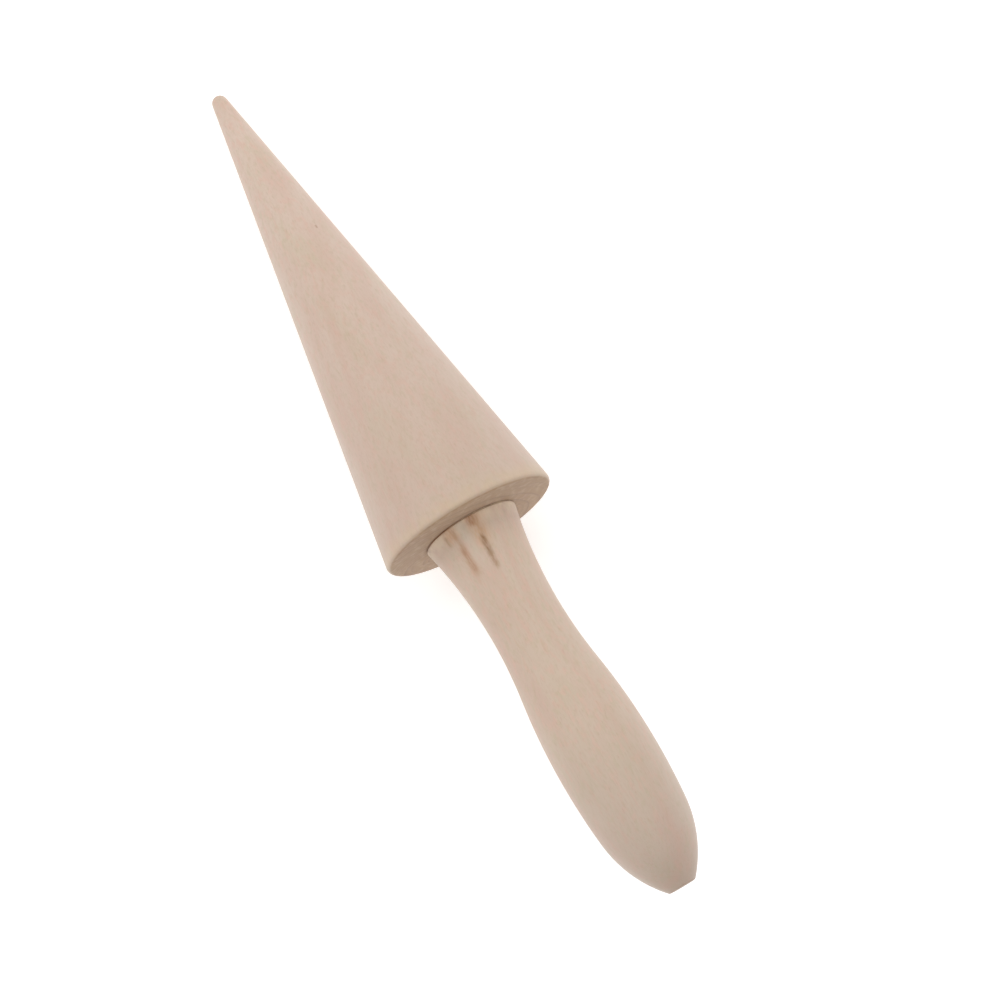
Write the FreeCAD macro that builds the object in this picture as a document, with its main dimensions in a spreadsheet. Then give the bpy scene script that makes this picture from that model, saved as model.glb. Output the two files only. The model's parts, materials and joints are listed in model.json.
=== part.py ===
import FreeCAD, Part

# A wooden ring mandrel: a turned cone, glued on the tenon of a turned handle.
#
# Each piece is drawn round its own X axis, which runs from the tip of the cone to the butt of
# the handle. X = 0 is the base face of the cone, which the glue lies on, and the shoulder of the
# handle. The pieces are then placed as the mandrel rests on a table: on the side of its cone,
# with the axis rising by half the cone's angle, so that the handle stands clear of the table.

import math
import os

import Sketcher
from FreeCAD import BoundBox, Placement, Rotation, Vector

# Driving sizes, in millimetres and degrees.
SIZES = {
    # cone
    "rim_radius": 25.0,  # of the base face, out to where its sharp edge would be
    "cone_length": 146.0,  # rounded tip to base face
    "tip_radius": 2.3,
    "rim_round": 1.3,
    "bore_radius": 6.1,
    "bore_depth": 32.0,  # to the end of the full diameter
    "drill_angle": 118.0,
    # handle
    "grip_length": 108.0,  # shoulder to butt
    "neck_at": 28.6,  # the narrowest place, from the shoulder
    "neck_radius": 10.16,
    "neck_sweep": 126.0,  # radius of the hollow curve along the neck
    "belly_at": 71.5,  # the widest place, from the shoulder
    "belly_radius": 13.27,
    "dome_sweep": 33.0,  # radius of the full curve from the belly to the butt
    "butt_radius": 3.75,  # of the flat left where the blank was parted off
    "butt_round": 0.8,
    "shoulder_round": 0.3,
    # tenon, turned in one piece with the handle
    "tenon_radius": 6.0,
    "tenon_length": 30.0,
    "tenon_chamfer": 1.2,
    # glue
    "seam": 0.25,  # base face to shoulder
    "film_depth": 27.0,  # how far the glue reaches up the bore
    "squeeze_radius": 13.2,  # how far the glue reaches out under the eased shoulder
}

# The sketcher's numbers for its own axes and origin, and for the points of a piece of geometry.
LENGTHWISE, ACROSS = -1, -2
START, END, CENTRE = 1, 2, 3
ORIGIN = (LENGTHWISE, START)


def make_sheet(doc):
    """Writes the driving sizes into a spreadsheet, one aliased cell to a size."""
    sheet = doc.addObject("Spreadsheet::Sheet", "Sizes")
    for row, (alias, value) in enumerate(SIZES.items(), start=1):
        sheet.set(f"A{row}", alias)
        sheet.set(f"B{row}", str(value))
        sheet.setAlias(f"B{row}", alias)
    doc.recompute()


def new_body(doc, label):
    body = doc.addObject("PartDesign::Body", label)
    body.Label = label
    return body


def new_sketch(body, name, role):
    """Adds an empty sketch on one of the body's own origin planes."""
    sketch = body.newObject("Sketcher::SketchObject", name)
    plane = next(item for item in body.Origin.OriginFeatures if item.Role == role)
    sketch.AttachmentSupport = [(plane, "")]
    sketch.MapMode = "FlatFace"
    return sketch


def line(start, end):
    return Part.LineSegment(Vector(*start), Vector(*end))


def arc(start, middle, end):
    """An arc through three points, which are given anticlockwise, as the sketcher keeps arcs."""
    return Part.Arc(Vector(*start), Vector(*middle), Vector(*end))


def hold(sketch, kind, *places):
    """Adds a constraint that has no size."""
    sketch.addConstraint(Sketcher.Constraint(kind, *places))


def drive(sketch, name, formula, kind, *places):
    """Adds a dimension and binds it to a formula of the sheet's cells."""
    value = float(sketch.evalExpression(formula))
    index = sketch.addConstraint(Sketcher.Constraint(kind, *places, value))
    sketch.renameConstraint(index, name)
    sketch.setExpression(f"Constraints.{name}", formula)


def draw_outline(sketch, edges, smooth=(), backward=()):
    """Draws a closed outline and joins each edge to the next.

    The joint after each edge in smooth is tangent. Each edge in backward was drawn against the
    way round, so it is joined by its other ends.
    """
    for edge in edges:
        sketch.addGeometry(edge)
    for this in range(len(edges)):
        following = (this + 1) % len(edges)
        leave = START if this in backward else END
        arrive = END if following in backward else START
        hold(sketch, "Tangent" if this in smooth else "Coincident", this, leave, following, arrive)


def turn(body, sketch):
    """Turns an outline about the body's X axis."""
    solid = body.newObject("PartDesign::Revolution", f"{body.Label}_turned")
    solid.Profile = sketch
    solid.ReferenceAxis = (sketch, ["H_Axis"])
    solid.Angle = 360.0
    body.Document.recompute()
    return solid


def round_edge(feature, along, radius):
    """Finds the circular edge of a turned piece at a place along its axis."""
    for number, edge in enumerate(feature.Shape.Edges, start=1):
        curve = edge.Curve
        if not isinstance(curve, Part.Circle):
            continue
        if abs(curve.Center.x - along) < 0.01 and abs(curve.Radius - radius) < 0.01:
            return f"Edge{number}"
    raise LookupError(f"no circular edge of radius {radius} at {along}")


def dress_edge(body, kind, name, base, edge, prop, alias):
    """Adds a fillet or a chamfer on one edge of the feature before it."""
    feature = body.newObject(kind, name)
    feature.Base = (base, [edge])
    feature.setExpression(prop, f"Sizes.{alias}")
    body.Document.recompute()
    return feature


def make_cone(doc):
    """The tapered mandrel: rounded tip, flat base with a rounded rim, and a blind bore."""
    body = new_body(doc, "mandrel_cone")
    length, radius, tip = SIZES["cone_length"], SIZES["rim_radius"], SIZES["tip_radius"]
    slant = math.radians(45.0)

    outline = new_sketch(body, "cone_outline", "XZ_Plane")
    axis, base, side, nose = range(4)
    tip_centre = tip - length
    draw_outline(outline, [
        line((-length, 0, 0), (0, 0, 0)),
        line((0, 0, 0), (0, radius, 0)),
        line((0, radius, 0), (tip_centre, tip, 0)),
        arc((tip_centre, tip, 0),
            (tip_centre - tip * math.cos(slant), tip * math.sin(slant), 0),
            (-length, 0, 0)),
    ], smooth=[side])
    hold(outline, "Coincident", axis, END, *ORIGIN)
    hold(outline, "Horizontal", axis)
    hold(outline, "Vertical", base)
    hold(outline, "PointOnObject", nose, CENTRE, LENGTHWISE)
    drive(outline, "length", "Sizes.cone_length", "DistanceX", axis, START, axis, END)
    drive(outline, "radius", "Sizes.rim_radius", "DistanceY", base, START, base, END)
    drive(outline, "nose", "Sizes.tip_radius", "Radius", nose)
    turned = turn(body, outline)

    rim = round_edge(turned, 0.0, radius)
    dress_edge(body, "PartDesign::Fillet", "rim", turned, rim, "Radius", "rim_round")

    mouth = new_sketch(body, "bore_mouth", "YZ_Plane")
    mouth.addGeometry(Part.Circle(Vector(0, 0, 0), Vector(0, 0, 1), SIZES["bore_radius"]))
    hold(mouth, "Coincident", 0, CENTRE, *ORIGIN)
    drive(mouth, "radius", "Sizes.bore_radius", "Radius", 0)
    doc.recompute()

    bore = body.newObject("PartDesign::Hole", "bore")
    bore.Profile = mouth
    bore.DepthType = "Dimension"
    bore.DrillPoint = "Angled"
    bore.setExpression("Diameter", "2 * Sizes.bore_radius")
    bore.setExpression("Depth", "Sizes.bore_depth")
    bore.setExpression("DrillPointAngle", "Sizes.drill_angle")
    return body


def make_handle(doc):
    """The handle: a tenon, a shoulder, a hollow neck, a full belly and a domed butt."""
    body = new_body(doc, "handle")
    neck = (SIZES["neck_at"], SIZES["neck_radius"], 0)
    belly = (SIZES["belly_at"], SIZES["belly_radius"], 0)
    butt = (SIZES["grip_length"], SIZES["butt_radius"], 0)
    tenon_end, tenon_radius = -SIZES["tenon_length"], SIZES["tenon_radius"]

    # Rough places where the curves meet, which the constraints then move to the true ones.
    shoulder = (0, belly[1], 0)
    turning = ((neck[0] + belly[0]) / 2, (neck[1] + belly[1]) / 2, 0)
    closing = ((belly[0] + butt[0]) / 2, 0.9 * belly[1], 0)
    dome = (0.3 * closing[0] + 0.7 * butt[0], 0.7 * closing[1], 0)

    outline = new_sketch(body, "handle_outline", "XZ_Plane")
    axis, flat, full, swell, hollow, rest, cheek, end = range(8)
    draw_outline(outline, [
        line((tenon_end, 0, 0), (butt[0], 0, 0)),
        line((butt[0], 0, 0), butt),
        arc(butt, dome, closing),
        arc(closing, belly, turning),
        arc(shoulder, neck, turning),
        line(shoulder, (0, tenon_radius, 0)),
        line((0, tenon_radius, 0), (tenon_end, tenon_radius, 0)),
        line((tenon_end, tenon_radius, 0), (tenon_end, 0, 0)),
    ], smooth=[full, swell], backward=[hollow])
    crest = outline.addGeometry(line((belly[0], 0, 0), belly), True)
    for upright in (flat, rest, end, crest):
        hold(outline, "Vertical", upright)
    hold(outline, "Horizontal", axis)
    hold(outline, "Horizontal", cheek)
    hold(outline, "PointOnObject", axis, START, LENGTHWISE)
    hold(outline, "PointOnObject", rest, START, ACROSS)
    hold(outline, "PointOnObject", crest, START, LENGTHWISE)
    hold(outline, "PointOnObject", crest, END, swell)
    hold(outline, "PointOnObject", swell, CENTRE, crest)
    drive(outline, "grip", "Sizes.grip_length", "DistanceX", *ORIGIN, flat, START)
    drive(outline, "butt", "Sizes.butt_radius", "DistanceY", flat, START, flat, END)
    drive(outline, "dome", "Sizes.dome_sweep", "Radius", full)
    drive(outline, "belly_place", "Sizes.belly_at", "DistanceX", *ORIGIN, crest, START)
    drive(outline, "belly_size", "Sizes.belly_radius", "DistanceY", crest, START, crest, END)
    drive(outline, "neck_place", "Sizes.neck_at", "DistanceX", *ORIGIN, hollow, CENTRE)
    drive(outline, "neck_curve", "Sizes.neck_sweep", "Radius", hollow)
    drive(outline, "neck_height", "Sizes.neck_radius + Sizes.neck_sweep", "DistanceY",
          *ORIGIN, hollow, CENTRE)
    drive(outline, "tenon", "Sizes.tenon_length", "DistanceX", cheek, END, cheek, START)
    drive(outline, "tenon_size", "Sizes.tenon_radius", "DistanceY", *ORIGIN, rest, END)
    turned = turn(body, outline)

    shoulder_radius = outline.getPoint(rest, START).y
    feature = dress_edge(body, "PartDesign::Fillet", "shoulder", turned,
                         round_edge(turned, 0.0, shoulder_radius), "Radius", "shoulder_round")
    feature = dress_edge(body, "PartDesign::Fillet", "butt_edge", feature,
                         round_edge(feature, butt[0], butt[1]), "Radius", "butt_round")
    dress_edge(body, "PartDesign::Chamfer", "tenon_end", feature,
               round_edge(feature, tenon_end, tenon_radius), "Size", "tenon_chamfer")
    return body


def make_glue(doc):
    """The cured glue: a sleeve round the tenon and a washer under the handle's shoulder."""
    body = new_body(doc, "glue_film")
    inner, outer, reach = SIZES["tenon_radius"], SIZES["bore_radius"], SIZES["squeeze_radius"]
    top, depth = SIZES["seam"], -SIZES["film_depth"]

    outline = new_sketch(body, "glue_outline", "XZ_Plane")
    corners = [(depth, inner, 0), (top, inner, 0), (top, reach, 0),
               (0, reach, 0), (0, outer, 0), (depth, outer, 0)]
    edges = [line(start, end) for start, end in zip(corners, corners[1:] + corners[:1])]
    draw_outline(outline, edges)
    tenon_side, _, squeeze, base_side, bore_side, _ = range(len(edges))
    for index in range(len(edges)):
        hold(outline, "Horizontal" if index % 2 == 0 else "Vertical", index)
    hold(outline, "PointOnObject", base_side, START, ACROSS)
    drive(outline, "seam", "Sizes.seam", "DistanceX", squeeze, END, squeeze, START)
    drive(outline, "depth", "Sizes.film_depth", "DistanceX", bore_side, END, bore_side, START)
    drive(outline, "inner", "Sizes.tenon_radius", "DistanceY", *ORIGIN, tenon_side, START)
    drive(outline, "outer", "Sizes.bore_radius", "DistanceY", *ORIGIN, bore_side, START)
    drive(outline, "reach", "Sizes.squeeze_radius", "DistanceY", *ORIGIN, squeeze, START)
    turn(body, outline)
    return body


def half_angle():
    """Half the cone's angle, from its rim, its length and its rounded tip, in radians."""
    rim, tip = SIZES["rim_radius"], SIZES["tip_radius"]
    to_tip_centre = SIZES["cone_length"] - tip
    reach = math.hypot(rim, to_tip_centre)
    return math.acos(tip / reach) - math.atan2(to_tip_centre, rim)


def lay_down(cone, handle, glue):
    """Lays the mandrel on the side of its cone, with Z = 0 on the table.

    The axis rises towards +X, and the origin ends up under the middle of the whole length.
    """
    tilt = half_angle()
    rise = Rotation(Vector(0, 1, 0), -math.degrees(tilt))
    base_height = SIZES["rim_radius"] * math.cos(tilt)
    seam_gap = Placement(Vector(SIZES["seam"], 0, 0), Rotation())

    lying = Placement(Vector(0, 0, base_height), rise)
    space = BoundBox()
    for body, own in ((cone, Placement()), (handle, seam_gap), (glue, Placement())):
        body.Placement = lying * own
        space.add(body.Shape.optimalBoundingBox(False))
    for body in (cone, handle, glue):
        body.Placement = Placement(Vector(-space.Center.x, 0, 0), Rotation()) * body.Placement


def check(doc, bodies):
    """Stops the run if any feature failed, or a piece or a cut isn't what it should be."""
    for item in doc.Objects:
        if "Invalid" in item.State or "Error" in item.State:
            raise RuntimeError(f"{item.Label} failed: {item.State}")
        if item.isDerivedFrom("Sketcher::SketchObject") and not item.FullyConstrained:
            raise RuntimeError(f"{item.Label} isn't fully constrained")
    for body in bodies:
        if body.Shape.isNull() or not body.Shape.isValid() or len(body.Shape.Solids) != 1:
            raise RuntimeError(f"{body.Label} isn't one valid solid")
    drilled = doc.getObject("rim").Shape.Volume - doc.getObject("bore").Shape.Volume
    if drilled < math.pi * SIZES["bore_radius"] ** 2 * SIZES["bore_depth"]:
        raise RuntimeError("the bore is missing from the cone")


def main():
    doc = FreeCAD.newDocument("ring_mandrel")
    make_sheet(doc)
    cone, handle, glue = make_cone(doc), make_handle(doc), make_glue(doc)
    doc.recompute()
    lay_down(cone, handle, glue)
    doc.recompute()
    check(doc, (cone, handle, glue))

    os.makedirs("parts", exist_ok=True)
    for body in (cone, handle, glue):
        body.Shape.exportStep(f"parts/{body.Label}.step")
        box = body.Shape.optimalBoundingBox(False)
        print(f"{body.Label}: {body.Shape.Volume:.1f} mm3, X {box.XMin:.3f} to {box.XMax:.3f}, "
              f"Z {box.ZMin:.3f} to {box.ZMax:.3f}")


main()
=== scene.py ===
"""Looks of a wooden ring mandrel: a turned cone glued on the tenon of a turned handle.

Each piece is turned on a lathe of its own about the mandrel's axis, in millimetres from the
centre of the cone's base face, and then set down in the part's frame, in metres.
"""

import json
import logging
import math
from dataclasses import dataclass, field
from enum import Enum
from typing import Any, Iterable, Mapping

import bmesh
import bpy
from mathutils import Euler, Matrix, Vector, noise


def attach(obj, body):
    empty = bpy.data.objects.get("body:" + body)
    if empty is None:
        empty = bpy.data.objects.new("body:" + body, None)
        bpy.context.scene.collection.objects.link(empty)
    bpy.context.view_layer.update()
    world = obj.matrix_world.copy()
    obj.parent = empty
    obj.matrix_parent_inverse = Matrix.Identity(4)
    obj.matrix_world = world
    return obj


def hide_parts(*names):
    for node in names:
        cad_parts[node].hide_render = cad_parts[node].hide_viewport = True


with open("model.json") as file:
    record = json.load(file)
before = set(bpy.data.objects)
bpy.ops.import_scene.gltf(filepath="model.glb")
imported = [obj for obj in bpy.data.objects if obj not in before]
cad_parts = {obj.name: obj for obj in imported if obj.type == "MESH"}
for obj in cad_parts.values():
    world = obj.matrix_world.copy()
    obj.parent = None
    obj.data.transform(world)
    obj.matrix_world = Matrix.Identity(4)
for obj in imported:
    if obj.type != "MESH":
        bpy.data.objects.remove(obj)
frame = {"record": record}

LOG = logging.getLogger("ring_mandrel")
MM = 0.001


def linear(hex_colour: str) -> tuple[float, float, float, float]:
    """Turns an sRGB hex colour into a linear one.

    Args:
        hex_colour: Six hex digits, such as "d4b9a8".

    Returns:
        Red, green, blue and an alpha of 1, linear.
    """
    channels = [int(hex_colour[place:place + 2], 16) / 255 for place in (0, 2, 4)]
    red, green, blue = (
        value / 12.92 if value <= 0.04045 else ((value + 0.055) / 1.055) ** 2.4 for value in channels
    )
    return red, green, blue, 1.0


def add_node(
    tree: bpy.types.NodeTree, kind: str, inputs: Mapping[Any, Any] | None = None, output: int | str = 0,
    **settings: Any,
) -> bpy.types.NodeSocket:
    """Adds a node with its settings, and sets or links its inputs.

    Args:
        tree: The node tree that gets the node.
        kind: The node's type name.
        inputs: Socket name or number to a value, or to the output socket that feeds it.
        output: Name or number of the output that is wanted.
        settings: The node's own attributes.

    Returns:
        That output of the new node.
    """
    node = tree.nodes.new(kind)
    for name, value in settings.items():
        setattr(node, name, value)
    for key, value in (inputs or {}).items():
        if isinstance(value, bpy.types.NodeSocket):
            tree.links.new(value, node.inputs[key])
        else:
            node.inputs[key].default_value = value
    return node.outputs[output]


def new_material(name: str, mesh: bpy.types.Mesh) -> bpy.types.NodeTree:
    """Gives a mesh one new material.

    Args:
        name: Name of the material.
        mesh: The mesh that gets it, in place of any other.

    Returns:
        The material's node tree, which holds a plain Principled BSDF.
    """
    material = bpy.data.materials.new(name)
    material.use_nodes = True
    mesh.materials.clear()
    mesh.materials.append(material)
    return material.node_tree


@dataclass(frozen=True)
class TurningAxis:
    """The line that both pieces are turned about.

    Attributes:
        base: Centre of the cone's base face, in the part's frame, in metres.
        along: Unit vector from the tip of the cone to the butt of the handle.
    """

    base: Vector
    along: Vector

    @classmethod
    def from_record(cls, record: Mapping[str, Any], base_to_butt: float) -> "TurningAxis":
        """Finds the axis from the flat on the butt of the handle.

        Args:
            record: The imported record.
            base_to_butt: Distance from the base face to that flat, in millimetres.

        Returns:
            The axis.
        """
        butt = next(mount for mount in record["mounts"] if mount["name"] == "butt_flat")
        along = Vector(butt["axis"]).normalized()
        return cls(Vector(butt["pos_m"]) - along * base_to_butt * MM, along)

    @property
    def tilt(self) -> Euler:
        """The turn that takes +X onto the axis."""
        return Euler((0.0, -math.asin(self.along.z), 0.0))

    def placing(self) -> Matrix:
        """The matrix that takes lathe millimetres to the part's frame."""
        return Matrix.Translation(self.base) @ self.tilt.to_matrix().to_4x4() @ Matrix.Scale(MM, 4)


@dataclass
class Outline:
    """Half of a turned piece's section: places along the axis and radii, in millimetres.

    Attributes:
        points: The corners and curve points so far, as (along, radius).
    """

    points: list[tuple[float, float]] = field(default_factory=list)

    def line_to(self, along: float, radius: float, spacing: float = 1.5) -> "Outline":
        """Goes straight to a point, with points on the way that are at most a spacing apart.

        Args:
            along: Where the line ends, along the axis.
            radius: Radius where the line ends.
            spacing: Largest distance between points.

        Returns:
            The outline itself.
        """
        if not self.points:
            self.points.append((along, radius))
            return self
        start_along, start_radius = self.points[-1]
        length = math.hypot(along - start_along, radius - start_radius)
        steps = max(1, math.ceil(length / spacing))
        for step in range(1, steps + 1):
            share = step / steps
            self.points.append((start_along + (along - start_along) * share,
                                start_radius + (radius - start_radius) * share))
        return self

    def arc(
        self, centre: tuple[float, float], radius: float, start: float, end: float, steps: int
    ) -> "Outline":
        """Follows an arc.

        Args:
            centre: Centre of the arc, as (along, radius).
            radius: Radius of the arc.
            start: Angle where the arc starts, from the axis, in radians.
            end: Angle where it ends.
            steps: Number of pieces the arc is cut into.

        Returns:
            The outline itself.
        """
        for step in range(steps + 1):
            angle = start + (end - start) * step / steps
            point = (centre[0] + radius * math.cos(angle), centre[1] + radius * math.sin(angle))
            if not self.points or math.dist(point, self.points[-1]) > 1e-4:
                self.points.append(point)
        return self


@dataclass(frozen=True)
class Lathe:
    """Spins outlines about the turning axis.

    Attributes:
        axis: The axis of the mandrel.
        steps: Number of flats round each piece.
    """

    axis: TurningAxis
    steps: int = 256

    def turn(self, outline: Outline) -> bmesh.types.BMesh:
        """Spins an outline into a closed skin, in lathe millimetres.

        Args:
            outline: The section, whose ends meet or lie on the axis.

        Returns:
            The skin, with its faces outwards.
        """
        mesh = bmesh.new()
        verts = [mesh.verts.new((along, 0.0, radius)) for along, radius in outline.points]
        edges = [mesh.edges.new(pair) for pair in zip(verts, verts[1:])]
        if min(outline.points[0][1], outline.points[-1][1]) > 1e-6:
            edges.append(mesh.edges.new((verts[-1], verts[0])))
        bmesh.ops.spin(mesh, geom=verts + edges, cent=(0, 0, 0), axis=(1, 0, 0), dvec=(0, 0, 0),
                       angle=math.tau, steps=self.steps, use_merge=True, use_duplicate=False)
        bmesh.ops.remove_doubles(mesh, verts=mesh.verts, dist=1e-4)
        bmesh.ops.recalc_face_normals(mesh, faces=mesh.faces)
        return mesh

    def set_down(self, mesh: bmesh.types.BMesh, name: str, node: str) -> bpy.types.Object:
        """Places a turned skin in the part's frame, in place of its CAD node.

        Args:
            mesh: The skin, in lathe millimetres.
            name: Name of the new piece.
            node: The CAD node that it stands for.

        Returns:
            The new piece.
        """
        bmesh.ops.transform(mesh, matrix=self.axis.placing(), verts=mesh.verts)
        data = bpy.data.meshes.new(name)
        mesh.to_mesh(data)
        mesh.free()
        data.shade_smooth()
        piece = bpy.data.objects.new(name, data)
        bpy.context.scene.collection.objects.link(piece)
        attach(piece, "root")
        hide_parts(node)
        LOG.info("%s: %d faces", name, len(data.polygons))
        return piece


class Blend(Enum):
    """How a layer of colour lies on what is under it."""

    COVER = "MIX"
    STAIN = "MULTIPLY"


@dataclass(frozen=True)
class Streak:
    """A thread of stain that runs with the grain, near the surface.

    Attributes:
        start: Where it begins, in millimetres from the base face.
        length: How far it runs.
        bearing: Its place round the axis, in degrees from the top towards +Y.
        width: Distance from its middle to where it is gone, in millimetres.
        depth: How much of its colour it takes, from 0 to 1.
        colour: Its hex colour.
    """

    start: float
    length: float
    bearing: float
    width: float
    depth: float
    colour: str = "96694a"


class Layers:
    """The colour of a material, built up in layers on patterns in lathe millimetres."""

    def __init__(self, tree: bpy.types.NodeTree, axis: TurningAxis, ground: str) -> None:
        """Starts with one even colour.

        Args:
            tree: The material's node tree.
            axis: The turning axis, which the grain runs along.
            ground: The material's own colour, as a hex colour.
        """
        self.tree = tree
        self.place = self.node(
            "ShaderNodeMapping",
            {"Vector": self.node("ShaderNodeTexCoord", output="Object"), "Location": axis.base,
             "Rotation": axis.tilt, "Scale": (MM, MM, MM)},
            vector_type="TEXTURE",
        )
        self.along, across, height = self.node("ShaderNodeSeparateXYZ", {0: self.place}).node.outputs
        self.bearing = self.node("ShaderNodeMath", {0: across, 1: height}, operation="ARCTAN2")
        self.reach = self.distance_from((0.0, 0.0))
        self.colour = self.node("ShaderNodeRGB")
        self.colour.default_value = linear(ground)

    def node(
        self, kind: str, inputs: Mapping[Any, Any] | None = None, output: int | str = 0, **settings: Any
    ) -> bpy.types.NodeSocket:
        """Adds a node to this material's tree, as add_node does."""
        return add_node(self.tree, kind, inputs, output, **settings)

    def distance_from(self, line: tuple[float, float]) -> bpy.types.NodeSocket:
        """Measures how far each place is from a line along the grain.

        Args:
            line: Where the line passes the base face, towards +Y and towards the top.

        Returns:
            The distance, in millimetres.
        """
        moved = self.node("ShaderNodeVectorMath", {0: self.place, 1: (0.0, *line)}, operation="SUBTRACT")
        square_on = self.node("ShaderNodeVectorMath", {0: moved, 1: (0.0, 1.0, 1.0)}, operation="MULTIPLY")
        return self.node("ShaderNodeVectorMath", {0: square_on}, output="Value", operation="LENGTH")

    def threads(self, length: float, width: float, detail: float = 2.0) -> bpy.types.NodeSocket:
        """Makes an irregular pattern that is drawn out along the grain.

        Args:
            length: Length of a thread, in millimetres.
            width: Width of a thread, in millimetres.
            detail: How much finer pattern lies on it.

        Returns:
            A value about 0.5.
        """
        per_mm = (1 / length, 1 / width, 1 / width)
        stretched = self.node("ShaderNodeVectorMath", {0: self.place, 1: per_mm}, operation="MULTIPLY")
        return self.node("ShaderNodeTexNoise",
                         {"Vector": stretched, "Scale": 1.0, "Detail": detail, "Roughness": 0.55})

    def patches(
        self, length: float, width: float, begin: float, full: float, detail: float = 2.0
    ) -> bpy.types.NodeSocket:
        """Picks out the higher parts of a pattern of threads, with soft edges.

        Args:
            length: Length of a thread, in millimetres.
            width: Width of a thread, in millimetres.
            begin: Value of the pattern where a patch begins.
            full: Value where it is full.
            detail: How much finer pattern lies on it.

        Returns:
            A mask from 0 to 1.
        """
        return self.node("ShaderNodeMapRange", {0: self.threads(length, width, detail), 1: begin, 2: full},
                         interpolation_type="SMOOTHSTEP")

    def band(
        self, value: bpy.types.NodeSocket, middle: bpy.types.NodeSocket | float, width: float
    ) -> bpy.types.NodeSocket:
        """Picks out the places where a value is near another one.

        Args:
            value: The value.
            middle: What it is compared with.
            width: Difference at which the mask is 0.

        Returns:
            A mask from 0 to 1.
        """
        off = self.node("ShaderNodeMath", {0: value, 1: middle}, operation="SUBTRACT")
        distance = self.node("ShaderNodeMath", {0: off}, operation="ABSOLUTE")
        return self.node("ShaderNodeMapRange", {0: distance, 1: width, 2: 0.0},
                         interpolation_type="SMOOTHSTEP")

    def lay(self, colour: str, *masks: bpy.types.NodeSocket | float, blend: Blend = Blend.COVER) -> None:
        """Lays a colour over what is there, where all the masks say.

        Args:
            colour: The hex colour.
            masks: How much of it is laid, from 0 to 1. They are multiplied.
            blend: How it lies on what is under it.
        """
        share = masks[0]
        for mask in masks[1:]:
            share = self.node("ShaderNodeMath", {0: share, 1: mask}, operation="MULTIPLY")
        self.colour = self.node(
            "ShaderNodeMix", {0: share, 6: self.colour, 7: linear(colour)}, output=2,
            data_type="RGBA", blend_type=blend.value, clamp_factor=True,
        )


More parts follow.
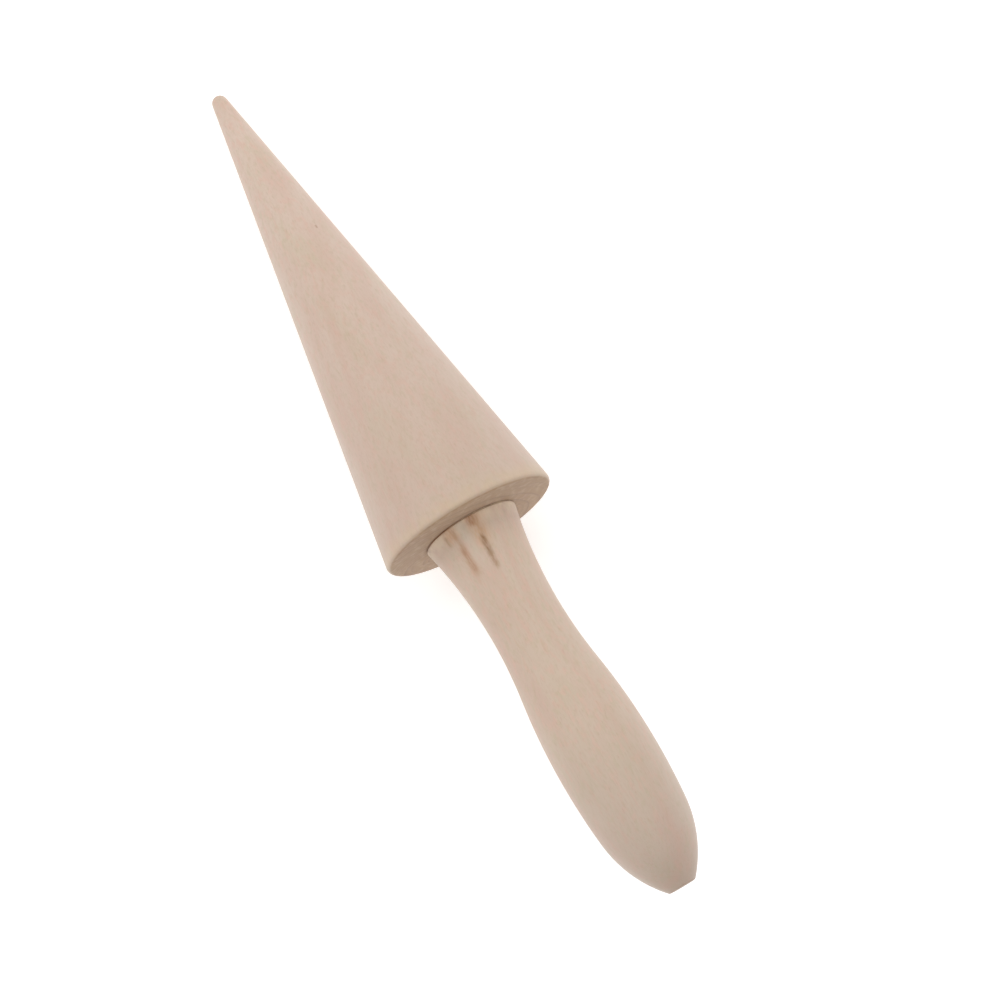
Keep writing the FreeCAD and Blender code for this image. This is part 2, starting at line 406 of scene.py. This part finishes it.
@dataclass(frozen=True)
class BareBeech:
    """Steamed beech, turned, sanded fine and left bare.

    The eye gets a matt, pinkish beige skin that is nearly even, because the pores are too small to
    see and nothing fills them. Its figure is no more than faint clouds and hair-fine fibres, with
    duller, browner wood and thin ring lines where the fibres are cut across, made darker there
    still by painted shade.

    Attributes:
        name: The material's name.
        pith: Where the middle of the tree passed the base face, in millimetres.
        darkening_span: Where the wood begins to grow darker along the piece and where it is darkest, in
            millimetres from the base face.
        edge_wear_and_light: Place of a pale band by an edge, and how far it reaches: wear on the cone's
            rim, painted light on the handle's shoulder.
        edge_wear_and_light_colour: Colour of that band of wear and painted light.
        edge_wear_and_light_share: How much of that colour is laid, from 0 to 1.
        tan: Colour that the wood turns to along the piece.
        ring: Mean width of a growth ring, in millimetres.
        marked_ring: Radius of the one ring that is pinker than the others.
        ground: The wood's own colour.
        blush: The pinker heart side.
        straw: The yellower, duller patches.
        short_grain: What the colour is multiplied by where the fibres are cut at a slant.
        end_grain_and_shade: What it is multiplied by again where they are cut square: the end grain's own
            darker tone, with painted shade on top.
        streaks: The stains that come to the surface.
        roughness: How matt the sanded skin is.
    """

    name: str
    pith: tuple[float, float]
    darkening_span: tuple[float, float]
    edge_wear_and_light: tuple[float, float]
    edge_wear_and_light_colour: str = "cdb592"
    edge_wear_and_light_share: float = 0.4
    tan: str = "aa917d"
    ring: float = 1.7
    marked_ring: float = 25.3
    ground: str = "d4beae"
    blush: str = "d0b1a1"
    straw: str = "cabaa2"
    short_grain: str = "ece8e4"
    end_grain_and_shade: str = "dccbb0"
    streaks: tuple[Streak, ...] = ()
    roughness: float = 0.62

    def ground_tones(self, wood: Layers) -> None:
        """Lays broad and small pink and straw clouds, and the fibres and rays over them.

        Args:
            wood: The wood's layers.
        """
        wood.lay(self.blush, wood.patches(length=30.0, width=9.0, begin=0.42, full=0.68), 0.6)
        wood.lay(self.straw, wood.patches(length=16.0, width=7.0, begin=0.48, full=0.72, detail=3.0), 0.5)
        wood.lay("d9ad9b", wood.patches(length=3.1, width=1.4, begin=0.48, full=0.68), 0.32)
        wood.lay("bfb08f", wood.patches(length=2.3, width=1.1, begin=0.50, full=0.70), 0.34)
        # A fibre is some 0.03 mm across. Here it is ten times as coarse, so that it shows.
        wood.lay("bd9d88", wood.patches(length=5.0, width=0.35, begin=0.38, full=0.75), 0.18)
        # The rays are the short flecks that mark beech, about a millimetre long where they are cut.
        wood.lay("b08a72", wood.patches(length=1.4, width=0.3, begin=0.62, full=0.78, detail=0.0), 0.16)

    def darkening_and_edge_wear_and_light(self, wood: Layers) -> None:
        """Turns the wood slowly darker along the piece, and lays a pale band by one edge: wear on the
        cone's rim, painted light on the handle's shoulder.

        Args:
            wood: The wood's layers.
        """
        begin, full = self.darkening_span
        wood.lay(self.tan, wood.node("ShaderNodeMapRange", {0: wood.along, 1: begin, 2: full}), 0.33)
        # The pale band is wear on the cone's rim, and painted light on the handle's shoulder, where it
        # offsets the shade that the cone's base casts.
        edge, reach = self.edge_wear_and_light
        edge_wear_and_light_mask = wood.band(wood.along, edge, reach)
        uneven = wood.patches(length=3.0, width=3.0, begin=0.2, full=0.6)
        wood.lay(self.edge_wear_and_light_colour, edge_wear_and_light_mask, uneven, self.edge_wear_and_light_share)

    def growth(self, wood: Layers) -> bpy.types.NodeSocket:
        """Lays the growth rings, which are nearly lost in the even ground.

        Args:
            wood: The wood's layers.

        Returns:
            The mask of the rings' darker edges.
        """
        from_pith = wood.distance_from(self.pith)
        radius = wood.node("ShaderNodeMath", {0: wood.threads(60.0, 14.0), 1: 5.0, 2: from_pith},
                           operation="MULTIPLY_ADD")
        count = wood.node("ShaderNodeMath", {0: radius, 1: self.ring}, operation="DIVIDE")
        within = wood.node("ShaderNodeMath", {0: count}, operation="FRACT")
        year = wood.node("ShaderNodeMath", {0: count}, operation="FLOOR")
        vigour = wood.node("ShaderNodeTexWhiteNoise", {"W": year}, noise_dimensions="1D")
        late = wood.node("ShaderNodeMath", {0: within, 1: 3.0}, operation="POWER")
        edges = wood.node("ShaderNodeMath", {0: late, 1: vigour}, operation="MULTIPLY")
        wood.lay("c39f8c", edges, 0.10)
        wood.lay("c9a08e", wood.band(radius, self.marked_ring + 2.5, 1.2), 0.18)
        return edges

    def fibre_ends(self, wood: Layers, grain: Vector, rings: bpy.types.NodeSocket) -> None:
        """Dulls the faces that cut across the grain, with their own darker tone and painted shade, and
        brings the rings out on them.

        Args:
            wood: The wood's layers.
            grain: Direction of the grain.
            rings: The mask of the rings' darker edges.
        """
        facing = wood.node("ShaderNodeTexCoord", output="Normal")
        square_on = wood.node("ShaderNodeVectorMath", {0: facing, 1: grain}, output="Value",
                              operation="DOT_PRODUCT")
        slant = wood.node("ShaderNodeMath", {0: square_on}, operation="ABSOLUTE")
        short, ends = (
            wood.node("ShaderNodeMapRange", {0: slant, 1: begin, 2: full}, interpolation_type="SMOOTHSTEP")
            for begin, full in ((0.25, 0.8), (0.72, 0.96))
        )
        wood.lay(self.short_grain, short, blend=Blend.STAIN)
        # Where the fibres are cut square the wood is darker of itself, and this colour darkens it further
        # as painted shade.
        wood.lay(self.end_grain_and_shade, ends, blend=Blend.STAIN)
        flecks = wood.patches(length=60.0, width=2.2, begin=0.45, full=0.70, detail=3.0)
        wood.lay("cdb69c", ends, flecks, 0.28)
        wood.lay("80604a", ends, rings, 0.8)

    def stains(self, wood: Layers) -> None:
        """Lays the streaks that come to the surface.

        Args:
            wood: The wood's layers.
        """
        waver = wood.node("ShaderNodeMapRange", {0: wood.threads(9.0, 30.0), 3: -0.5, 4: 0.5})
        broken = wood.node("ShaderNodeMapRange",
                           {0: wood.threads(3.0, 0.45, detail=3.0), 1: 0.35, 2: 0.62, 3: 0.5, 4: 1.0})
        for streak in self.streaks:
            off = wood.node("ShaderNodeMath", {0: wood.bearing, 1: math.radians(streak.bearing)},
                            operation="SUBTRACT")
            aside = wood.node("ShaderNodeMath", {0: off, 1: wood.reach, 2: waver}, operation="MULTIPLY_ADD")
            opening, ending = (
                wood.node("ShaderNodeMapRange", {0: wood.along, 1: streak.start + gone * streak.length,
                                                 2: streak.start + full * streak.length},
                          interpolation_type="SMOOTHSTEP")
                for gone, full in ((-0.15, 0.15), (1.0, 0.55))
            )
            line = wood.band(aside, 0.0, streak.width)
            wood.lay(streak.colour, line, opening, ending, broken, streak.depth)

    def relief(self, wood: Layers) -> bpy.types.NodeSocket:
        """Raises the fibres, leaves the sandpaper's faint rings, and hollows the skin a little.

        Args:
            wood: The wood's layers.

        Returns:
            The bumped normal.
        """
        around = wood.node("ShaderNodeCombineXYZ", {0: wood.along, 1: wood.reach, 2: wood.bearing})
        drawn = wood.node("ShaderNodeVectorMath", {0: around, 1: (3.0, 3.0, 1.5)}, operation="MULTIPLY")
        sanding = wood.node("ShaderNodeTexNoise", {"Vector": drawn, "Scale": 1.0, "Detail": 3.0})
        height = wood.node("ShaderNodeMath", {0: sanding, 1: 0.4, 2: wood.threads(4.0, 0.35, detail=3.0)},
                           operation="MULTIPLY_ADD")
        hand = wood.node("ShaderNodeBump", {"Height": wood.threads(30.0, 9.0), "Strength": 0.5,
                                            "Distance": 0.12 * MM})
        return wood.node("ShaderNodeBump", {"Height": height, "Strength": 0.6, "Distance": 0.02 * MM,
                                            "Normal": hand})

    def dress(self, piece: bpy.types.Object, axis: TurningAxis) -> None:
        """Gives a piece this finish.

        Args:
            piece: The piece, in the part's frame.
            axis: The turning axis.
        """
        tree = new_material(self.name, piece.data)
        shader = tree.nodes["Principled BSDF"]
        wood = Layers(tree, axis, self.ground)
        self.ground_tones(wood)
        self.darkening_and_edge_wear_and_light(wood)
        self.fibre_ends(wood, axis.along, self.growth(wood))
        self.stains(wood)
        matt = wood.node("ShaderNodeMapRange", {0: wood.threads(6.0, 1.5), 1: 0.3, 2: 0.7,
                                                3: self.roughness - 0.04, 4: self.roughness + 0.06})
        tree.links.new(wood.colour, shader.inputs["Base Color"])
        tree.links.new(matt, shader.inputs["Roughness"])
        tree.links.new(self.relief(wood), shader.inputs["Normal"])
        shader.inputs["IOR"].default_value = 1.45
        shader.inputs["Specular IOR Level"].default_value = 0.35
        shader.inputs["Sheen Weight"].default_value = 0.25
        shader.inputs["Sheen Roughness"].default_value = 0.6


@dataclass(frozen=True)
class CuredGlue:
    """Brown hide glue, squeezed out of the joint, wiped and cured.

    The eye gets a thin reddish brown line with a little gloss, which is darkest on one side of the
    joint and fades to the colour of the wood on the other, where it was wiped thin.

    Attributes:
        name: The material's name.
        thin: Colour where it was wiped thin, laid paler than the glue as painted light against the shade in
            the seam.
        thick: Colour where it is thick, also laid paler as painted light against that shade.
    """

    name: str = "hide_glue_wiped_and_cured"
    # Both colours are paler than the cured glue, as painted light against the shade in the seam.
    thin: str = "ebd2b4"
    thick: str = "a8734c"

    def dress(self, piece: bpy.types.Object, axis: TurningAxis) -> None:
        """Gives a piece this finish.

        Args:
            piece: The piece, in the part's frame.
            axis: The turning axis.
        """
        tree = new_material(self.name, piece.data)
        shader = tree.nodes["Principled BSDF"]
        glue = Layers(tree, axis, self.thin)
        left = glue.node("ShaderNodeMapRange",
                         {0: glue.bearing, 1: math.radians(10.0), 2: math.radians(-30.0)},
                         interpolation_type="SMOOTHSTEP")
        glue.lay(self.thick, left)
        glue.lay(self.thick, glue.patches(length=4.0, width=4.0, begin=0.45, full=0.7), 0.4)
        bubbles = glue.threads(0.4, 0.4)
        gloss = glue.node("ShaderNodeMapRange", {0: bubbles, 1: 0.3, 2: 0.7, 3: 0.3, 4: 0.5})
        bump = glue.node("ShaderNodeBump", {"Height": bubbles, "Strength": 0.5, "Distance": 0.02 * MM})
        tree.links.new(glue.colour, shader.inputs["Base Color"])
        tree.links.new(gloss, shader.inputs["Roughness"])
        tree.links.new(bump, shader.inputs["Normal"])
        shader.inputs["IOR"].default_value = 1.53


@dataclass(frozen=True)
class MandrelCone:
    """The tapered mandrel, with the blind bore that takes the handle's tenon.

    Sizes are in millimetres, from the base face.

    Attributes:
        rim_radius: Radius of the base face, out to where its sharp edge would be.
        length: Rounded tip to base face.
        tip_radius: Radius of the rounded tip.
        rim_round: Radius of the rounded rim.
        bore_radius: Radius of the bore.
        bore_depth: Depth of the bore's full diameter.
        drill_angle: Angle of the drill's point, in degrees.
        finish: The wood.
    """

    rim_radius: float = 25.0
    length: float = 146.0
    tip_radius: float = 2.3
    rim_round: float = 1.3
    bore_radius: float = 6.1
    bore_depth: float = 32.0
    drill_angle: float = 118.0
    finish: BareBeech = BareBeech(
        "steamed_beech_turned_and_sanded", pith=(-12.0, -9.0), darkening_span=(-125.0, 10.0), edge_wear_and_light=(-1.0, 5.0),
        streaks=(Streak(start=-93.3, length=1.4, bearing=33.0, width=0.5, depth=0.8),),
    )

    @property
    def half_angle(self) -> float:
        """Half the cone's angle, in radians."""
        to_tip_centre = self.length - self.tip_radius
        return (math.acos(self.tip_radius / math.hypot(self.rim_radius, to_tip_centre))
                - math.atan2(to_tip_centre, self.rim_radius))

    def outline(self) -> Outline:
        """Goes from the tip down the side, over the rim, across the base and up the bore.

        Returns:
            The section.
        """
        square = math.pi / 2
        side = square + self.half_angle
        tip_centre = (self.tip_radius - self.length, 0.0)
        # The rim's arc touches the base face, at X = 0, and the sloping side.
        rim_height = (self.rim_radius - self.rim_round / math.cos(self.half_angle)
                      - self.rim_round * math.tan(self.half_angle))
        outline = Outline().arc(tip_centre, self.tip_radius, math.pi, side, 14)
        rim_centre = (-self.rim_round, rim_height)
        outline.line_to(rim_centre[0] + self.rim_round * math.cos(side),
                        rim_centre[1] + self.rim_round * math.sin(side))
        outline.arc(rim_centre, self.rim_round, side, 0.0, 12)
        outline.line_to(0.0, self.bore_radius)
        outline.line_to(-self.bore_depth, self.bore_radius, spacing=6.0)
        point = self.bore_radius / math.tan(math.radians(self.drill_angle / 2))
        return outline.line_to(-self.bore_depth - point, 0.0, spacing=2.0)

    def make(self, lathe: Lathe) -> bpy.types.Object:
        """Turns and dresses the cone.

        Args:
            lathe: The lathe that it is turned on.

        Returns:
            The finished piece.
        """
        mesh = lathe.turn(self.outline())
        piece = lathe.set_down(mesh, "turned_cone", "mandrel_cone")
        self.finish.dress(piece, lathe.axis)
        return piece


@dataclass(frozen=True)
class Handle:
    """The handle, turned in one piece with its tenon.

    Sizes are in millimetres. Places along it are from its shoulder.

    Attributes:
        shoulder_at: Where the shoulder stands, from the cone's base face.
        length: Shoulder to butt.
        neck_at: Place of the narrowest part.
        neck_radius: Radius there.
        neck_sweep: Radius of the hollow curve along the neck.
        belly_at: Place of the widest part.
        belly_radius: Radius there.
        dome_sweep: Radius of the full curve that closes the belly.
        butt_radius: Radius of the flat on the butt.
        butt_round: Radius of the flat's eased edge.
        shoulder_round: Radius of the shoulder's eased edge.
        tenon_radius: Radius of the tenon.
        tenon_length: Length of the tenon.
        tenon_chamfer: Chamfer on the tenon's end.
        finish: The wood.
    """

    shoulder_at: float = 0.25
    length: float = 108.0
    neck_at: float = 28.6
    neck_radius: float = 10.16
    neck_sweep: float = 126.0
    belly_at: float = 71.5
    belly_radius: float = 13.27
    dome_sweep: float = 33.0
    butt_radius: float = 3.75
    butt_round: float = 0.8
    shoulder_round: float = 0.3
    tenon_radius: float = 6.0
    tenon_length: float = 30.0
    tenon_chamfer: float = 1.2
    finish: BareBeech = BareBeech(
        # The pale band at the shoulder is painted light, which offsets the shade that the cone's base casts
        # on the neck.
        "steamed_beech_with_brown_streaks", pith=(22.0, -31.0), darkening_span=(60.0, 110.0), edge_wear_and_light=(0.3, 4.5),
        edge_wear_and_light_colour="f2dcc1", edge_wear_and_light_share=0.75, tan="968c84", marked_ring=44.0,
        ground="cdb8a5", blush="ccad9c", straw="c5b59d",
        # The darker streaks that start at the shoulder are laid paler than the stains are, as painted light
        # against the shade that the cone's base casts there.
        streaks=(
            Streak(start=-0.5, length=17.0, bearing=-9.0, width=2.4, depth=0.4, colour="d2c8b8"),
            Streak(start=-0.5, length=12.0, bearing=9.0, width=4.2, depth=0.6, colour="d0a67d"),
            Streak(start=-0.5, length=6.0, bearing=-25.0, width=3.6, depth=0.7, colour="d0a27c"),
            Streak(start=5.5, length=12.0, bearing=-21.5, width=2.6, depth=0.5, colour="c9a083"),
            Streak(start=-0.4, length=4.5, bearing=5.0, width=1.8, depth=0.9, colour="ae7955"),
            Streak(start=0.6, length=7.5, bearing=10.5, width=1.6, depth=0.6, colour="b78d6c"),
            Streak(start=6.0, length=6.8, bearing=8.0, width=1.4, depth=1.0, colour="916f4e"),
            Streak(start=11.0, length=5.5, bearing=7.5, width=1.3, depth=0.8, colour="98734f"),
            Streak(start=0.6, length=9.0, bearing=-19.5, width=1.1, depth=0.6, colour="ae8462"),
            Streak(start=6.5, length=9.5, bearing=-21.5, width=1.6, depth=0.8, colour="ac8366"),
            Streak(start=1.6, length=3.8, bearing=-32.0, width=0.9, depth=0.6, colour="ad8b6a"),
        ),
    )

    @property
    def base_to_butt(self) -> float:
        """Distance from the cone's base face to the flat on the butt."""
        return self.shoulder_at + self.length

    def curves(self) -> tuple[float, tuple[float, float], tuple[float, float], tuple[float, float]]:
        """Finds the belly's radius and the centres of the neck, the belly and the dome.

        Returns:
            The radius of the belly's curve, and the three centres as (along, radius).
        """
        rise = self.belly_radius - self.neck_radius
        run = self.belly_at - self.neck_at
        belly_sweep = (run ** 2 + rise ** 2) / (2 * rise) - self.neck_sweep
        neck = (self.neck_at, self.neck_radius + self.neck_sweep)
        belly = (self.belly_at, self.belly_radius - belly_sweep)
        # The dome's centre is this far from the belly's, and a dome's radius from the butt's edge.
        apart, reach = belly_sweep - self.dome_sweep, self.dome_sweep
        butt = (self.length, self.butt_radius)
        span = math.dist(belly, butt)
        toward = (apart ** 2 + span ** 2 - reach ** 2) / (2 * span)
        aside = math.sqrt(apart ** 2 - toward ** 2)
        unit = ((butt[0] - belly[0]) / span, (butt[1] - belly[1]) / span)
        dome = (belly[0] + toward * unit[0] - aside * unit[1],
                belly[1] + toward * unit[1] + aside * unit[0])
        return belly_sweep, neck, belly, dome

    def outline(self) -> Outline:
        """Goes from the butt over the dome, the belly and the neck to the shoulder and the tenon.

        Returns:
            The section.
        """
        belly_sweep, neck, belly, dome = self.curves()
        turning = math.atan2(neck[1] - belly[1], neck[0] - belly[0])
        closing = math.atan2(dome[1] - belly[1], dome[0] - belly[0])

        # The eased edge of the butt touches its flat and the dome.
        ease = self.butt_round
        height = dome[1] + math.sqrt((self.dome_sweep - ease) ** 2 - (self.length - ease - dome[0]) ** 2)
        ease_centre = (self.length - ease, height)
        leaving = math.atan2(ease_centre[1] - dome[1], ease_centre[0] - dome[0])

        # The eased edge of the shoulder touches its face and the neck.
        soft = self.shoulder_round
        soft_centre = (soft, neck[1] - math.sqrt((self.neck_sweep + soft) ** 2 - (soft - neck[0]) ** 2))
        joining = math.atan2(soft_centre[1] - neck[1], soft_centre[0] - neck[0])

        outline = Outline().line_to(self.length, 0.0).line_to(self.length, height, spacing=0.6)
        outline.arc(ease_centre, ease, 0.0, leaving, 8)
        outline.arc(dome, self.dome_sweep, leaving, closing, 36)
        outline.arc(belly, belly_sweep, closing, turning, 36)
        outline.arc(neck, self.neck_sweep, turning - math.pi, joining, 44)
        outline.arc(soft_centre, soft, joining + math.pi, math.pi, 8)
        outline.line_to(0.0, self.tenon_radius)
        outline.line_to(self.tenon_chamfer - self.tenon_length, self.tenon_radius, spacing=6.0)
        outline.line_to(-self.tenon_length, self.tenon_radius - self.tenon_chamfer)
        outline.line_to(-self.tenon_length, 0.0, spacing=2.5)
        return Outline([(along + self.shoulder_at, radius) for along, radius in outline.points])

    def make(self, lathe: Lathe) -> bpy.types.Object:
        """Turns and dresses the handle.

        Args:
            lathe: The lathe that it is turned on.

        Returns:
            The finished piece.
        """
        mesh = lathe.turn(self.outline())
        piece = lathe.set_down(mesh, "turned_handle", "handle")
        self.finish.dress(piece, lathe.axis)
        return piece


@dataclass(frozen=True)
class GlueFilm:
    """The cured glue round the tenon and under the handle's shoulder.

    Sizes are in millimetres, from the cone's base face.

    Attributes:
        inner_radius: Radius of the tenon.
        outer_radius: Radius of the bore.
        depth: How far the glue reaches up the bore.
        seam: Gap between the base face and the shoulder.
        squeeze_radius: How far the glue reaches out.
        uneven: How far its edge was wiped back at most.
        finish: The glue.
    """

    inner_radius: float = 6.0
    outer_radius: float = 6.1
    depth: float = 27.0
    seam: float = 0.25
    squeeze_radius: float = 13.2
    uneven: float = 0.12
    finish: CuredGlue = CuredGlue()

    def outline(self) -> Outline:
        """Goes round the sleeve and the washer.

        Returns:
            The section, closed.
        """
        bead = self.seam / 2
        outline = Outline().line_to(-self.depth, self.outer_radius)
        outline.line_to(0.0, self.outer_radius, spacing=6.0)
        outline.line_to(0.0, self.squeeze_radius - bead, spacing=2.0)
        outline.arc((bead, self.squeeze_radius - bead), bead, math.pi, 0.0, 8)
        outline.line_to(self.seam, self.inner_radius, spacing=2.0)
        return outline.line_to(-self.depth, self.inner_radius, spacing=6.0)

    def wipe(self, mesh: bmesh.types.BMesh) -> None:
        """Draws the bead's edge back unevenly, as a rag does.

        Args:
            mesh: The turned glue, in lathe millimetres.
        """
        for vert in mesh.verts:
            reach = math.hypot(vert.co.y, vert.co.z)
            if reach > self.squeeze_radius - self.seam:
                drawn_back = self.uneven * (0.5 + noise.noise(vert.co * 0.35))
                vert.co.yz = vert.co.yz * (1 - drawn_back / reach)

    def make(self, lathe: Lathe) -> bpy.types.Object:
        """Lays, wipes and dresses the glue.

        Args:
            lathe: The lathe whose axis it lies on.

        Returns:
            The finished piece.
        """
        mesh = lathe.turn(self.outline())
        self.wipe(mesh)
        piece = lathe.set_down(mesh, "squeezed_out_glue", "glue_film")
        self.finish.dress(piece, lathe.axis)
        return piece


@dataclass(frozen=True)
class Softbox:
    """A square studio light.

    Attributes:
        name: Its name.
        place: Where it stands, in metres.
        side: Length of its side, in metres.
        power: Power, in watts.
    """

    name: str
    place: tuple[float, float, float]
    side: float
    power: float

    def hang(self, aim: Vector) -> None:
        """Hangs the light.

        Args:
            aim: The point that it faces.
        """
        light = bpy.data.lights.new(self.name, "AREA")
        light.shape = "SQUARE"
        light.size = self.side
        light.energy = self.power
        lamp = bpy.data.objects.new(self.name, light)
        lamp.location = self.place
        lamp.rotation_euler = (aim - lamp.location).to_track_quat("-Z", "Y").to_euler()
        bpy.context.scene.collection.objects.link(lamp)


@dataclass(frozen=True)
class Studio:
    """A pale table under broad, soft lights.

    Attributes:
        floor_side: Length of the table's side, in metres.
        floor_colour: Colour of the table.
        floor_glow: Light that the table gives by itself, as a light table does.
        surround: Strength of the even light from all round.
        softboxes: The lights.
    """

    floor_side: float = 60.0
    floor_colour: str = "f4f4f4"
    floor_glow: float = 0.37
    surround: float = 0.45
    softboxes: tuple[Softbox, ...] = (
        Softbox("softbox_left", (-0.4, -0.6, 0.5), 0.7, 2.4),
        Softbox("softbox_right", (-0.4, 0.6, 0.5), 0.7, 2.7),
        Softbox("softbox_overhead", (-0.3, 0.0, 1.1), 0.9, 2.4),
        Softbox("softbox_low", (0.9, 0.0, 0.3), 0.8, 2.4),
    )

    def build(self) -> None:
        """Lays the table and hangs the lights."""
        mesh = bmesh.new()
        bmesh.ops.create_grid(mesh, x_segments=1, y_segments=1, size=self.floor_side / 2)
        data = bpy.data.meshes.new("table")
        mesh.to_mesh(data)
        mesh.free()
        table = bpy.data.objects.new("table", data)
        bpy.context.scene.collection.objects.link(table)

        paper = new_material("white_paper_sweep", data)
        shader = paper.nodes["Principled BSDF"]
        shader.inputs["Base Color"].default_value = linear(self.floor_colour)
        shader.inputs["Roughness"].default_value = 0.9
        shader.inputs["Specular IOR Level"].default_value = 0.0
        shader.inputs["Emission Color"].default_value = (1.0, 1.0, 1.0, 1.0)
        shader.inputs["Emission Strength"].default_value = self.floor_glow

        world = bpy.data.worlds.new("studio")
        world.use_nodes = True
        world.node_tree.nodes["Background"].inputs["Strength"].default_value = self.surround
        world.node_tree.nodes["Background"].inputs["Color"].default_value = (1.0, 1.0, 1.0, 1.0)
        bpy.context.scene.world = world
        for softbox in self.softboxes:
            softbox.hang(Vector((0.0, 0.0, 0.02)))
        bpy.context.scene.view_settings.view_transform = "Standard"


@dataclass(frozen=True)
class ProductCamera:
    """A camera that looks almost straight down on the mandrel.

    Attributes:
        azimuth: Direction of view round the part, in degrees. At 0 it looks along +Y.
        elevation: How far it stands above the horizon, in degrees.
        roll: How far it is turned about its own line of sight, in degrees.
        distance: From the aim to the camera, in metres.
        aim: The point it looks at, from the centre of the base face, in metres.
        lens: Focal length, in millimetres, on a 36 mm sensor.
    """

    azimuth: float = -90.0
    elevation: float = 84.636
    roll: float = 30.85
    distance: float = 0.53085
    aim: tuple[float, float, float] = (-0.00231, 0.01046, 0.0)
    lens: float = 72.0

    def place(self, axis: TurningAxis) -> None:
        """Puts the camera in place and makes it the scene's.

        Args:
            axis: The turning axis, whose base the aim is measured from.
        """
        angles = (self.azimuth, self.elevation, self.roll)
        azimuth, elevation, roll = (math.radians(angle) for angle in angles)
        sight = Vector((math.sin(azimuth) * math.cos(elevation), math.cos(azimuth) * math.cos(elevation),
                        -math.sin(elevation)))
        level = sight.cross(Vector((0.0, 0.0, 1.0))).normalized()
        upright = level.cross(sight)
        up = upright * math.cos(roll) + level * math.sin(roll)
        right = sight.cross(up)
        turn = Matrix((right, up, -sight)).transposed()
        data = bpy.data.cameras.new("product_camera")
        data.lens = self.lens
        data.sensor_width = 36.0
        data.clip_start = 0.01
        camera = bpy.data.objects.new("product_camera", data)
        place = axis.base + Vector(self.aim) - sight * self.distance
        camera.matrix_world = Matrix.Translation(place) @ turn.to_4x4()
        bpy.context.scene.collection.objects.link(camera)
        bpy.context.scene.camera = camera


def main() -> None:
    """Builds the mandrel, the studio and the camera."""
    logging.basicConfig(level=logging.INFO, format="%(name)s: %(message)s")
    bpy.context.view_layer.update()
    handle = Handle()
    axis = TurningAxis.from_record(frame["record"], handle.base_to_butt)
    ProductCamera().place(axis)
    lathe = Lathe(axis)
    for part in (MandrelCone(), handle, GlueFilm()):
        part.make(lathe)
    Studio().build()


if __name__ == "__main__":
    main()
